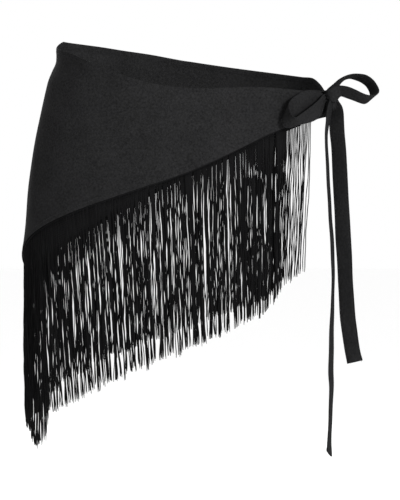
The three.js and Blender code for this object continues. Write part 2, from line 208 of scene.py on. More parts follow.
# The straps: places along the middle of each, with its width there and the direction across it.
LOOP_LEFT = [
    Station(165.7, -46.5, -38, -97, 86, 13.5),
    Station(160.2, -50.5, -38.6, 180, 90, 14.5),
    Station(153.4, -57.2, -39.3, 95, 88, 17.8),
    Station(144.2, -67, -41.5, 0, 87, 23.8),
    Station(134.9, -77.5, -44.6, 41, 84, 27.9),
    Station(126.4, -87.5, -48.5, 59, 80, 27.1),
    Station(119.5, -93, -50.9, 26, 79, 23.4),
    Station(115.3, -96.8, -53.2, 4, 70, 20.8),
    Station(113.6, -99, -57.2, -24, 61, 19.8),
    Station(115.2, -102.5, -62.1, -44, 61, 20.4),
    Station(118.1, -104, -65.2, -72, 52, 20.5),
    Station(122.6, -103, -66.1, -91, 37, 20.1),
    Station(127.9, -99.2, -65.5, -102, 27, 19),
    Station(135.6, -90, -62.4, -111, 38, 19.1),
    Station(144.1, -80.2, -58.3, -123, 46, 19.9),
    Station(151.8, -70.5, -53, -126, 47, 20.1),
    Station(156.7, -62.2, -46.1, -119, 46, 15.5),
    Station(159.8, -55.8, -40, -118, 53, 10.3),
    Station(165.6, -48.5, -35.4, -130, 61, 8),
]
LOOP_RIGHT = [
    Station(159.4, -49.5, -33.5, -151, 67, 5.3),
    Station(163.9, -55.8, -34.2, -138, 68, 10),
    Station(168.5, -58.8, -35.3, -127, 74, 15.9),
    Station(173, -58, -35, -107, 65, 19.7),
    Station(176.6, -57.2, -32.4, -95, 53, 19.1),
    Station(180.5, -57.2, -30.7, -91, 43, 18.3),
    Station(187.4, -59, -32.4, -82, 42, 19),
    Station(195.8, -60.2, -35.6, -81, 39, 19),
    Station(203.7, -59.8, -39, -79, 36, 18.4),
    Station(208.8, -58.4, -40.6, -70, 33, 18.1),
    Station(212.8, -57.2, -40.8, -57, 32, 17.6),
    Station(216.1, -56.6, -39.6, -46, 33, 17.2),
    Station(218.4, -55.2, -37.2, -45, 29, 17.3),
    Station(219.8, -53.8, -34.4, -51, 25, 17.6),
    Station(219.9, -51.9, -31.3, -56, 22, 17.9),
    Station(218.3, -49.6, -27, -60, 22, 18.2),
    Station(214.5, -47, -21.4, -63, 23, 18.3),
    Station(208.1, -45.8, -16.7, -68, 25, 18.6),
    Station(201.5, -43.8, -14.5, -74, 22, 18.5),
    Station(193.7, -42, -13.5, -84, 16, 17.8),
    Station(186.8, -40.5, -15.1, -92, 12, 17.4),
    Station(180.7, -39.8, -19.1, -102, 11, 16.2),
    Station(175.1, -40.5, -25.3, -107, 21, 13.5),
    Station(167.1, -42, -32.4, -110, 34, 10.3),
]
TAIL_WIDE = [
    Station(172, -45, -34, -20, 0, 8),
    Station(173.2, -47, -41.5, -20, 0, 10),
    Station(175.4, -47.5, -48, -28, 0, 14),
    Station(176.2, -46, -56, -42, 0, 19),
    Station(176, -44.5, -65, -33, 0, 19.5),
    Station(176.7, -44, -79, -28, 0, 19.5),
    Station(178.7, -44, -100, -30, 0, 19.5),
    Station(181.4, -44, -147, -29, 0, 19.5),
    Station(184.1, -43.5, -194, -24, 0, 19.5),
    Station(186.6, -43, -241, -27, 0, 19.5),
    Station(189.8, -42.5, -289, -25, 0, 19.5),
    Station(192.6, -42, -313, -20, 0, 19.5),
    Station(195.7, -42, -336, -19, 0, 19.5),
    Station(199.2, -42, -352, -8, 0, 19.7),
]
TAIL_NARROW = [
    Station(170.5, -50, -35, 62, 0, 9),
    Station(168.6, -53.5, -45, 64, 0, 13),
    Station(166.6, -56.5, -55, 68, 0, 17),
    Station(165.4, -58, -65, 74, 0, 19),
    Station(163.8, -59, -75, 78, 0, 19.5),
    Station(163.4, -59, -88, 80, 0, 19.5),
    Station(164.7, -59.5, -123, 79, 0, 19.5),
    Station(168, -59, -170, 78, 0, 19.5),
    Station(170.8, -58.5, -217, 77, 0, 19.5),
    Station(172, -58, -264, 79, 0, 19.5),
    Station(170.3, -57.5, -311, 74, 0, 19.5),
    Station(170, -57.5, -358, 71, 0, 19.5),
    Station(170.6, -57.5, -382, 74, 0, 19.5),
    Station(168.6, -57, -430, 76, 0, 19.5),
    Station(168.4, -57, -460, 71, 0, 19.5),
]

# The straps. The flat sizes here are in metres.
STRAPS = [
    Strap("bow_loop_left_strap", "bow_loop_left", LOOP_LEFT, False, 3, 0.0, 0.17),
    Strap("bow_loop_right_strap", "bow_loop_right", LOOP_RIGHT, False, 4, 0.0, 0.13),
    Strap("tail_wide_strap", "tail_wide", TAIL_WIDE, True, 5, -2.4, 0.31),
    Strap("tail_narrow_strap", "tail_narrow", TAIL_NARROW, True, 6, 5.5, 0.42),
]

# The knot: its middle and half sizes, how square it is, and the gathers that run round it.
KNOT = Knot(169, -42.5, -41.5, 7.2, 11, 13.5)
KNOT_POWER = 3
KNOT_CREASES = [
    Crease(-0.58, 0.10, 0.4, 0.07, 0.9),
    Crease(-0.22, 0.14, 1.5, 0.09, 1.2),
    Crease(0.12, 0.12, 2.6, 0.06, 0.8),
    Crease(0.46, 0.13, 3.4, 0.09, 1.3),
    Crease(0.74, 0.06, 5.0, 0.05, 0.7),
]

# One face of a strap's section, in shares of its half width and half thickness. The dips beside the edges
# hold the stitching.
STRAP_EDGE = [(0.99, 0.5), (0.95, 0.95), (0.87, 1.0), (0.83, 0.72), (0.79, 0.98), (0.5, 1.06)]
STRAP_SECTION = [(1.0, 0.0)] + STRAP_EDGE + [(0.0, 1.1)]
STRAP_SECTION += [(-across, thick) for across, thick in STRAP_EDGE[::-1]]
STRAP_STEPS = 150
STITCH_LINE = 0.83
STITCH_GROOVE = 0.86
STITCH_FROM_KNOT = 9
STITCH_FROM_TIP = 3

# How far the squeeze of the knot reaches along a strap, and the fold and the slanting cut at a tail's tip.
PINCH_REACH = 17
TIP_FOLD = 8
TIP_FOLD_SWELL = 0.45
CUT_REACH = 14

# Stitches: how much of its pitch each one fills, the thread's radius in the hems and in the straps, and the
# length of its twist in metres.
STITCH_SHARE = 0.72
HEM_THREAD_RADIUS = 0.19
STRAP_THREAD_RADIUS = 0.17
THREAD_TWIST = 0.0007

# The fringe's header is sewn behind the hem: how far it shows below it, how far it lies inside, half its
# thickness, the height of its ribs, that of one course of its knit, and its chain's pitch in metres.
HEADER_BELOW_HEM = 1.6
HEADER_INSET = 2.3
HEADER_HALF = 0.62
HEADER_RELIEF = 0.12
COURSE_HEIGHT = 1.6
CHAIN_PITCH = 0.0024

# The strands: how they bunch and end, and the slow and quick waves in them. Each wave strays from that of
# its bunch by an angle in radians.
FRINGE_SEEDS = {"front": 11, "back": 23}
STRAND_STEPS = 30
STRAND_SIDES = 5
BUNCH_CHANCE = 0.33
BUNCH_CLING = (0.4, 0.9)
BUNCH_LEAN = 1.0
STRAND_RAGGED = 1.3
BUNCH_RAGGED = 2.6
ODD_CHANCE = 0.08
ODD_LENGTHS = (-9, 5)
STRAND_LAYER = 0.9
STRAND_GIRTHS = (0.85, 1.12)
STRAND_SWAYS = [
    Sway(1.1, 0.8, 0.5),
    Sway(2.6, 0.45, 0.7),
    Sway(6.5, 0.17, 2.0),
    Sway(14, 0.04, 3.0),
]

# The camera, in metres: it looks along +Y from a little above, at the middle of the hanging scarf.
CAMERA_TARGET = (0.0156, 0, -0.2208)
CAMERA_DISTANCE = 2.6
CAMERA_ELEVATION = 4
FRAME_HEIGHT = 0.6
SENSOR = 36

# The studio, in metres: half the floor's side, and the two soft lights with what they are aimed at.
FLOOR_HALF = 9
SOFTBOXES = [
    Softbox("key_softbox", (1.75, -2.5, 0.6), (0.8, 0.8), 118, (0, 0, -0.15)),
    Softbox("back_softbox", (-1.2, 2.6, 1.0), (1.4, 1.0), 60, (0, 0, -0.1)),
]


class HipScarfSettings(bpy.types.PropertyGroup):
    """Sizes and colours of the scarf and of its studio."""

    cloth_thickness: bpy.props.FloatProperty(
        name="Cloth thickness",
        description="Thickness of the crepe",
        default=0.0011, min=0.0004, max=0.003, precision=4, unit="LENGTH",
    )
    hem_depth: bpy.props.FloatProperty(
        name="Hem depth",
        description="Depth of the turned hem along the edges of the cloth",
        default=0.0062, min=0.003, max=0.015, precision=4, unit="LENGTH",
    )
    stitch_pitch: bpy.props.FloatProperty(
        name="Stitch length",
        description="Length of one machine stitch with its gap",
        default=0.003, min=0.0015, max=0.006, precision=4, unit="LENGTH",
    )
    strand_spacing: bpy.props.FloatProperty(
        name="Strand spacing",
        description="Distance between neighbouring fringe strands at the hem",
        default=0.0011, min=0.0008, max=0.01, precision=4, unit="LENGTH",
    )
    strand_diameter: bpy.props.FloatProperty(
        name="Strand diameter",
        description="Thickness of one chainette strand",
        default=0.00112, min=0.0006, max=0.004, precision=4, unit="LENGTH",
    )
    header_height: bpy.props.FloatProperty(
        name="Header height",
        description="Height of the knitted tape that holds the strands",
        default=0.005, min=0.002, max=0.02, precision=4, unit="LENGTH",
    )
    strap_thickness: bpy.props.FloatProperty(
        name="Strap thickness",
        description="Thickness of the turned and pressed straps",
        default=0.0016, min=0.0008, max=0.004, precision=4, unit="LENGTH",
    )
    floor_height: bpy.props.FloatProperty(
        name="Floor height",
        description="Height of the studio floor below the waist",
        default=-0.95, max=-0.5, unit="LENGTH",
    )
    crepe_colour: bpy.props.FloatVectorProperty(
        name="Crepe",
        description="Colour of the wrap's cloth",
        subtype="COLOR", size=4, min=0, max=1, default=(0.0108, 0.0108, 0.0111, 1),
    )
    # The straps' crepe is the cloth's crepe made a little darker: painted shade.
    strap_shaded_colour: bpy.props.FloatVectorProperty(
        name="Straps",
        description="Colour of the bow and the tails",
        subtype="COLOR", size=4, min=0, max=1, default=(0.0098, 0.0098, 0.0101, 1),
    )
    chainette_colour: bpy.props.FloatVectorProperty(
        name="Fringe",
        description="Colour of the strands and their header",
        subtype="COLOR", size=4, min=0, max=1, default=(0.0030, 0.0030, 0.0032, 1),
    )
    thread_colour: bpy.props.FloatVectorProperty(
        name="Thread",
        description="Colour of the stitching",
        subtype="COLOR", size=4, min=0, max=1, default=(0.018, 0.018, 0.019, 1),
    )
    floor_colour: bpy.props.FloatVectorProperty(
        name="Floor",
        description="Colour of the studio floor",
        subtype="COLOR", size=4, min=0, max=1, default=(0.97, 0.97, 0.97, 1),
    )


def settings():
    """The sizes and colours set in the panel."""
    return bpy.context.scene.hip_scarf


# Tables, curves and the form of the cloth.

def read_column(rows, column, values):
    """One column of a table at any values of its first column, on a smooth curve through the rows."""
    keys = np.array([row[0] for row in rows], float)
    data = np.array([getattr(row, column) for row in rows], float)
    slopes = np.empty(len(rows))
    slopes[1:-1] = (data[2:] - data[:-2]) / (keys[2:] - keys[:-2])
    slopes[0] = (data[1] - data[0]) / (keys[1] - keys[0])
    slopes[-1] = (data[-1] - data[-2]) / (keys[-1] - keys[-2])
    index = np.clip(np.searchsorted(keys, values, side="right") - 1, 0, len(rows) - 2)
    span = keys[index + 1] - keys[index]
    t = np.clip((values - keys[index]) / span, 0, 1)
    rise = t * t * (3 - 2 * t)
    bend = slopes[index] * t * (1 - t) ** 2 + slopes[index + 1] * t * t * (t - 1)
    return data[index] + (data[index + 1] - data[index]) * rise + bend * span


def smoothstep(value, low, high):
    """A soft step from 0 at low to 1 at high."""
    t = np.clip((value - low) / (high - low), 0, 1)
    return t * t * (3 - 2 * t)


def signed_power(value, power):
    """A power of the size of a value, with its sign kept."""
    return np.sign(value) * np.abs(value) ** power


def unit(vectors):
    """Vectors brought to length one."""
    return vectors / np.maximum(np.linalg.norm(vectors, axis=-1, keepdims=True), 1e-12)


def cloth_angle(stretch, along):
    """The angle round the hips at a share of a stretch."""
    return POINT_ANGLE + (stretch.knot_angle - POINT_ANGLE) * along


def outward_direction(angle, height):
    """The level direction straight out from the hips."""
    half_width = read_column(OUTLINE, "half_width", height)
    half_depth = read_column(OUTLINE, "half_depth", height)
    power = 2 - 2 / OUTLINE_POWER
    across = signed_power(np.cos(np.radians(angle)), power) / half_width
    back = signed_power(np.sin(np.radians(angle)), power) / half_depth
    return unit(np.stack([across, back, np.zeros_like(across)], axis=-1))


def outline_point(angle, height):
    """The place on the smooth outline of the hips."""
    half_width = read_column(OUTLINE, "half_width", height)
    half_depth = read_column(OUTLINE, "half_depth", height)
    x = read_column(OUTLINE, "shift", height)
    x = x + half_width * signed_power(np.cos(np.radians(angle)), 2 / OUTLINE_POWER)
    y = half_depth * signed_power(np.sin(np.radians(angle)), 2 / OUTLINE_POWER)
    return np.stack([x, y, height], axis=-1)


def fold_outset(angle, height):
    """How far the soft creases lift the cloth at each place."""
    lift = np.zeros(np.broadcast(angle, height).shape)
    for fold in FOLDS:
        sideways = np.radians(angle - fold.angle) * FOLD_RADIUS
        upward = height - fold.height
        cos, sin = math.cos(math.radians(fold.tilt)), math.sin(math.radians(fold.tilt))
        forward = (sideways * cos + upward * sin) / fold.length
        aside = (upward * cos - sideways * sin) / fold.width
        lift += fold.depth * np.exp(-forward ** 2 - aside ** 2)
    return lift


def cloth_point(stretch, along, down, below=0.0):
    """The cloth's middle: along runs from the triangle's point to the knot, down from top edge to hem."""
    along, down, below = np.broadcast_arrays(along, down, below)
    angle = cloth_angle(stretch, along)
    top = read_column(stretch.edges, "top", angle)
    hem = read_column(stretch.edges, "hem", angle)
    height = top + (hem - top) * down - below
    gather = smoothstep(along, stretch.gather_start, 1)
    pleat = PLEAT_DEPTH * smoothstep(along, PLEAT_REACH, 1)
    pleat = pleat * 0.5 * (1 - np.cos(2 * math.pi * PLEATS * down))
    edge_calm = np.minimum(smoothstep(down, 0, FOLD_EDGE_REACH), smoothstep(1 - down, 0, FOLD_EDGE_REACH))
    fold_share = FOLD_EDGE_SHARE + (1 - FOLD_EDGE_SHARE) * edge_calm
    lift = pleat + fold_outset(angle, height) * (1 - gather) * fold_share
    worn = outline_point(angle, height) + outward_direction(angle, height) * lift[..., None]
    mouth = stretch.mouth
    gathered = np.stack([
        np.full(height.shape, float(mouth.x)),
        mouth.y - pleat,
        mouth.top + (mouth.hem - mouth.top) * down - below,
    ], axis=-1)
    return worn + (gathered - worn) * gather[..., None]


def hem_places(stretch, spacing, end_angle):
    """Shares along a stretch that lie evenly on its hem, a spacing apart, from the point to an angle."""
    end = (end_angle - POINT_ANGLE) / (stretch.knot_angle - POINT_ANGLE)
    samples = np.linspace(0, end, 1200)
    points = cloth_point(stretch, samples, 1.0)
    crowding = read_column(stretch.strands, "crowding", cloth_angle(stretch, samples[:-1]))
    lengths = np.concatenate([[0], np.cumsum(np.linalg.norm(np.diff(points, axis=0), axis=1) * crowding)])
    count = int(lengths[-1] / spacing)
    targets = (np.arange(count) + 0.5) * lengths[-1] / count
    return np.interp(targets, lengths, samples)


def curve_through(values, t):
    """A smooth curve through evenly keyed values, at shares t of its whole."""
    values = np.asarray(values, float)
    first = 2 * values[0] - values[1]
    last = 2 * values[-1] - values[-2]
    padded = np.concatenate([[first], values, [last]])
    place = np.clip(t, 0, 1) * (len(values) - 1)
    index = np.minimum(place.astype(int), len(values) - 2)
    weight = (place - index)[:, None]
    before, start, end, after = (padded[index + step] for step in range(4))
    leave, arrive = (end - before) / 2, (after - start) / 2
    cubic = 2 * start - 2 * end + leave + arrive
    square = -3 * start + 3 * end - 2 * leave - arrive
    return ((cubic * weight + square) * weight + leave) * weight + start


# Mesh makers.

def new_piece(name, points_mm, faces, material, uvs=None):
    """A smooth-shaded mesh piece that rides on the scarf's one body."""
    mesh = bpy.data.meshes.new(name)
    mesh.from_pydata((np.asarray(points_mm) * MM).tolist(), [], [tuple(face) for face in faces])
    if uvs is not None:
        layer = mesh.uv_layers.new(name="UVMap")
        layer.data.foreach_set("uv", np.asarray(uvs, np.float32).ravel())
    mesh.materials.append(material)
    mesh.validate()
    mesh.shade_smooth()
    piece = bpy.data.objects.new(name, mesh)
    bpy.context.scene.collection.objects.link(piece)
    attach(piece, "root")
    return piece


def wall_faces(columns, rows):
    """Faces of a closed wall between two grids of points, the outer grid first."""
    stride = rows
    layer = columns * rows
    faces = []
    for column in range(columns - 1):
        for row in range(rows - 1):
            a = column * stride + row
            faces.append((a, a + 1, a + stride + 1, a + stride))
            faces.append((layer + a, layer + a + stride, layer + a + stride + 1, layer + a + 1))
        top = column * stride
        faces.append((top, top + stride, layer + top + stride, layer + top))
        low = top + rows - 1
        faces.append((low, layer + low, layer + low + stride, low + stride))
    for row in range(rows - 1):
        faces.append((row, layer + row, layer + row + 1, row + 1))
        end = (columns - 1) * stride + row
        faces.append((end, end + 1, layer + end + 1, layer + end))
    return faces


def grid_normals(points):
    """Normals of a grid of points that face away from the middle of the hips."""
    normals = unit(np.cross(np.gradient(points, axis=0), np.gradient(points, axis=1)))
    middle = points[len(points) // 2, points.shape[1] // 2]
    outward = normals[len(points) // 2, points.shape[1] // 2] @ (middle * [1, 1, 0])
    return normals if outward > 0 else -normals


def tube_parts(rings, lengths):
    """Points, faces and texture places of capped tubes. Rings is tubes by rings by sides by three."""
    tubes, steps, sides, _ = rings.shape
    points = rings.reshape(-1, 3)
    tube, step, side = np.meshgrid(np.arange(tubes), np.arange(steps - 1), np.arange(sides), indexing="ij")
    after = (side + 1) % sides
    base = (tube * steps + step) * sides
    quads = np.stack([base + side, base + after, base + sides + after, base + sides + side], axis=-1)
    u0, u1 = side / sides, (side + 1) / sides
    v0, v1 = lengths[tube, step], lengths[tube, step + 1]
    uvs = np.stack([
        np.stack([u0, v0], axis=-1),
        np.stack([u1, v0], axis=-1),
        np.stack([u1, v1], axis=-1),
        np.stack([u0, v1], axis=-1),
    ], axis=-2).reshape(-1, 2)
    faces = [tuple(quad) for quad in quads.reshape(-1, 4).tolist()]
    uvs = uvs.tolist()
    for index in range(tubes):
        first = index * steps * sides
        last = first + (steps - 1) * sides
        faces.append(tuple(range(first + sides - 1, first - 1, -1)))
        faces.append(tuple(range(last, last + sides)))
        uvs += [(corner / sides, float(lengths[index, 0])) for corner in range(sides)]
        uvs += [(corner / sides, float(lengths[index, -1])) for corner in range(sides)]
    return points, faces, uvs


def stitches(places, directions, outs, length, radius):
    """A row of short rounded threads, each lying along its direction and a little proud of the cloth."""
    sides = 6
    turns = np.arange(sides) * 2 * math.pi / sides
    along = np.array([-0.5, -0.4, 0.0, 0.4, 0.5]) * length
    girth = np.array([0.35, 0.85, 1.0, 0.85, 0.35]) * radius
    rise = np.array([-0.5, 0.1, 0.45, 0.1, -0.5]) * radius
    side_ways = unit(np.cross(outs, directions))
    centres = places[:, None] + directions[:, None] * along[:, None] + outs[:, None] * rise[:, None]
    around = side_ways[:, None, None] * np.cos(turns)[:, None]
    around = around + outs[:, None, None] * np.sin(turns)[:, None]
    rings = centres[:, :, None] + around * girth[:, None, None]
    lengths = np.broadcast_to(along - along[0], (len(places), len(along))) * MM
    return tube_parts(rings, lengths)


def join_parts(parts):
    """Several sets of points, faces and texture places as one."""
    points, faces, uvs = [], [], []
    start = 0
    for part_points, part_faces, part_uvs in parts:
        points.append(part_points)
        faces += [tuple(index + start for index in face) for face in part_faces]
        uvs += part_uvs
        start += len(part_points)
    return np.concatenate(points), faces, uvs


# Materials.

def node_material(name):
    """A new material with its nodes, links and main shader."""
    material = bpy.data.materials.new(name)
    material.use_nodes = True
    nodes, links = material.node_tree.nodes, material.node_tree.links
    shader = nodes["Principled BSDF"]
    return material, nodes, links, shader


def add_node(nodes, kind, **values):
    """A new node with its inputs or its own settings filled in."""
    node = nodes.new(kind)
    for key, value in values.items():
        if key in node.inputs:
            node.inputs[key].default_value = value
        else:
            setattr(node, key, value)
    return node


def colour_variation(nodes, links, shader, source, colour, spread):
    """Drives the base colour from a grey pattern, between darker and lighter than the cloth's colour."""
    ramp = nodes.new("ShaderNodeValToRGB")
    ramp.color_ramp.elements[0].position = 0.28
    ramp.color_ramp.elements[1].position = 0.74
    ramp.color_ramp.elements[0].color = [channel * (1 - spread) for channel in colour[:3]] + [1]
    ramp.color_ramp.elements[1].color = [channel * (1 + spread) for channel in colour[:3]] + [1]
    links.new(source, ramp.inputs["Fac"])
    links.new(ramp.outputs["Color"], shader.inputs["Base Color"])


def crepe_material(name, colour, grain, roughness):
    """Matt crepe: a pebbled grain of crimped threads, with faint cloudy shading."""
    material, nodes, links, shader = node_material(name)
    place = nodes.new("ShaderNodeTexCoord").outputs["Object"]
    pebbles = add_node(nodes, "ShaderNodeTexNoise", Scale=430 * grain, Detail=3, Roughness=0.75)
    threads = add_node(nodes, "ShaderNodeTexVoronoi", Scale=1500 * grain, feature="SMOOTH_F1")
    clouds = add_node(nodes, "ShaderNodeTexNoise", Scale=24, Detail=3, Roughness=0.6)
    for texture in (pebbles, threads, clouds):
        links.new(place, texture.inputs["Vector"])
    relief = add_node(nodes, "ShaderNodeMath", operation="MULTIPLY_ADD")
    relief.inputs[1].default_value = 0.6
    links.new(threads.outputs["Distance"], relief.inputs[0])
    links.new(pebbles.outputs["Fac"], relief.inputs[2])
    tone = add_node(nodes, "ShaderNodeMath", operation="MULTIPLY_ADD")
    tone.inputs[1].default_value = 0.75
    half_clouds = add_node(nodes, "ShaderNodeMath", operation="MULTIPLY")
    half_clouds.inputs[1].default_value = 0.25
    links.new(clouds.outputs["Fac"], half_clouds.inputs[0])
    links.new(pebbles.outputs["Fac"], tone.inputs[0])
    links.new(half_clouds.outputs["Value"], tone.inputs[2])
    colour_variation(nodes, links, shader, tone.outputs["Value"], colour, 0.65)
    bump = add_node(nodes, "ShaderNodeBump", Strength=0.55, Distance=0.0005)
    links.new(relief.outputs["Value"], bump.inputs["Height"])
    links.new(bump.outputs["Normal"], shader.inputs["Normal"])
    shader.inputs["Roughness"].default_value = roughness
    shader.inputs["Specular IOR Level"].default_value = 0.01
    shader.inputs["Sheen Weight"].default_value = 0.002
    shader.inputs["Sheen Roughness"].default_value = 0.55
    return material


def chainette_material(name, colour, pitch):
    """Knitted cord: loops that turn round the strand, with a soft sheen, painted shade in the grooves
    between the loops and a lighter painted colour on their crests.
    """
    material, nodes, links, shader = node_material(name)
    place = nodes.new("ShaderNodeTexCoord")
    split = nodes.new("ShaderNodeSeparateXYZ")
    links.new(place.outputs["UV"], split.inputs["Vector"])
    turn = add_node(nodes, "ShaderNodeMath", operation="MULTIPLY")
    turn.inputs[1].default_value = 2 * math.pi / pitch
    links.new(split.outputs["Y"], turn.inputs[0])
    twist = add_node(nodes, "ShaderNodeMath", operation="MULTIPLY_ADD")
    twist.inputs[1].default_value = 4 * math.pi
    links.new(split.outputs["X"], twist.inputs[0])
    links.new(turn.outputs["Value"], twist.inputs[2])
    loops = add_node(nodes, "ShaderNodeMath", operation="SINE")
    links.new(twist.outputs["Value"], loops.inputs[0])
    level = add_node(nodes, "ShaderNodeMapRange")
    level.inputs["From Min"].default_value = -1
    links.new(loops.outputs["Value"], level.inputs["Value"])
    shade = add_node(nodes, "ShaderNodeTexNoise", Scale=60, Detail=2)
    links.new(place.outputs["Object"], shade.inputs["Vector"])
    # The colour follows the loops' relief: painted shade in their grooves and a lighter painted colour on
    # their crests, mixed with random mottling from the noise.
    tone = add_node(nodes, "ShaderNodeMath", operation="MULTIPLY_ADD")
    tone.inputs[1].default_value = 0.4
    half_shade = add_node(nodes, "ShaderNodeMath", operation="MULTIPLY")
    half_shade.inputs[1].default_value = 0.6
    links.new(shade.outputs["Fac"], half_shade.inputs[0])
    links.new(level.outputs["Result"], tone.inputs[0])
    links.new(half_shade.outputs["Value"], tone.inputs[2])
    colour_variation(nodes, links, shader, tone.outputs["Value"], colour, 0.4)
    bump = add_node(nodes, "ShaderNodeBump", Strength=0.6, Distance=0.0003)
    links.new(level.outputs["Result"], bump.inputs["Height"])
    links.new(bump.outputs["Normal"], shader.inputs["Normal"])
    shader.inputs["Roughness"].default_value = 0.7
    shader.inputs["Specular IOR Level"].default_value = 0.04
    return material


def strap_material():
    """The finer crepe of the straps, made once, a little darker than the cloth's crepe as painted shade."""
    return bpy.data.materials.get("strap_crepe") or crepe_material(
        "strap_crepe", settings().strap_shaded_colour, 1.15, 0.84)


def cord_material():
    """The knitted cord of the strands and headers, made once."""
    return bpy.data.materials.get("chainette_cord") or chainette_material(
        "chainette_cord", settings().chainette_colour, CHAIN_PITCH)


def thread_material():
    """The twisted sewing thread, made once."""
    return bpy.data.materials.get("thread") or chainette_material(
        "thread", settings().thread_colour, THREAD_TWIST)


def studio_material(name, colour):
    """Matt paper with a faint tooth."""
    material, nodes, links, shader = node_material(name)
    place = nodes.new("ShaderNodeTexCoord").outputs["Object"]
    paper = add_node(nodes, "ShaderNodeTexNoise", Scale=40, Detail=2)
    links.new(place, paper.inputs["Vector"])
    bump = add_node(nodes, "ShaderNodeBump", Strength=0.05, Distance=0.0005)
    links.new(paper.outputs["Fac"], bump.inputs["Height"])
    links.new(bump.outputs["Normal"], shader.inputs["Normal"])
    shader.inputs["Base Color"].default_value = colour
    shader.inputs["Roughness"].default_value = 0.9
    return material


# Pieces.

def wrap_grid():
    """The cloth's middle as one grid, from the knot round the back to the point and on round the front."""
    back = np.linspace(1, 0, BACK_COLUMNS)
    front = np.linspace(0, 1, FRONT_COLUMNS)[1:]
    hem = settings().hem_depth / MM
    edge = np.array([0, 0.35, 0.9, 0.5 * hem, hem - HEM_STEP_INSIDE, hem, hem + HEM_STEP_OUTSIDE])
    columns = []
    for stretch, shares in ((BACK, back), (FRONT, front)):
        for along in shares:
            angle = cloth_angle(stretch, along)
            top = read_column(stretch.edges, "top", angle)
            low = read_column(stretch.edges, "hem", angle)
            tall = float(top - low)
            inner = np.linspace(edge[-1], tall - edge[-1], INNER_ROWS)[1:-1]
            depths = np.concatenate([edge, inner, (tall - edge)[::-1]])
            columns.append((stretch, along, depths, tall))
    points = np.array([cloth_point(stretch, np.full(len(depths), along), depths / tall)
                       for stretch, along, depths, tall in columns])
    depths = np.array([np.minimum(depths, tall - depths) for _, _, depths, tall in columns])
    return points, depths


def make_wrap():
    """The wrap: one thin closed shell of crepe, thicker where its hems are turned in."""
    points, depths = wrap_grid()
    normals = grid_normals(points)
    half = settings().cloth_thickness / MM / 2
    hem = settings().hem_depth / MM
    turned = 1 - smoothstep(depths, hem - HEM_STEP_INSIDE, hem + HEM_STEP_OUTSIDE)
    rounded = 0.35 + 0.65 * smoothstep(depths, -0.2, 0.9)
    outer = points + normals * ((half + HEM_PROUD_OUTSIDE * turned) * rounded)[..., None]
    inner = points - normals * ((half + HEM_PROUD_INSIDE * turned) * rounded)[..., None]
    columns, rows = points.shape[:2]
    material = crepe_material("crepe_cloth", settings().crepe_colour, 1.0, 0.88)
    cloth = new_piece("wrap_cloth", np.concatenate([outer.reshape(-1, 3), inner.reshape(-1, 3)]),
                      wall_faces(columns, rows), material)
    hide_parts("wrap_front", "wrap_back")
    return cloth


def make_hem_stitches():
    """The line of machine stitches that holds each hem, seen on both faces of the cloth."""
    pitch = settings().stitch_pitch / MM
    half = settings().cloth_thickness / MM / 2
    inset = settings().hem_depth / MM - HEM_STITCH_INSET
    parts = []
    for stretch in (FRONT, BACK):
        samples = np.linspace(0, 0.985, 1500)
        for from_top in (True, False):
            angle = cloth_angle(stretch, samples)
            tall = read_column(stretch.edges, "top", angle) - read_column(stretch.edges, "hem", angle)
            down = inset / tall if from_top else 1 - inset / tall
            path = cloth_point(stretch, samples, down)
            lengths = np.concatenate([[0], np.cumsum(np.linalg.norm(np.diff(path, axis=0), axis=1))])
            targets = np.arange(0.5 * pitch, lengths[-1], pitch)
            shares = np.interp(targets, lengths, samples)
            downs = np.interp(shares, samples, down)
            places = cloth_point(stretch, shares, downs)
            directions = unit(cloth_point(stretch, np.minimum(shares + 0.002, 1), downs) - places)
            lower = cloth_point(stretch, shares, np.minimum(downs + 0.01, 1)) - places
            outs = unit(np.cross(directions, lower))
            hips_out = outward_direction(cloth_angle(stretch, shares), places[:, 2])
            outs *= np.sign(np.sum(outs * hips_out, axis=1))[:, None]
            for face, lift in ((1, half + HEM_PROUD_OUTSIDE), (-1, half + HEM_PROUD_INSIDE)):
                parts.append(stitches(places + outs * face * lift, directions, outs * face,
                                      pitch * STITCH_SHARE, HEM_THREAD_RADIUS))
    points, faces, uvs = join_parts(parts)
    return new_piece("hem_stitches", points, faces, thread_material(), uvs)


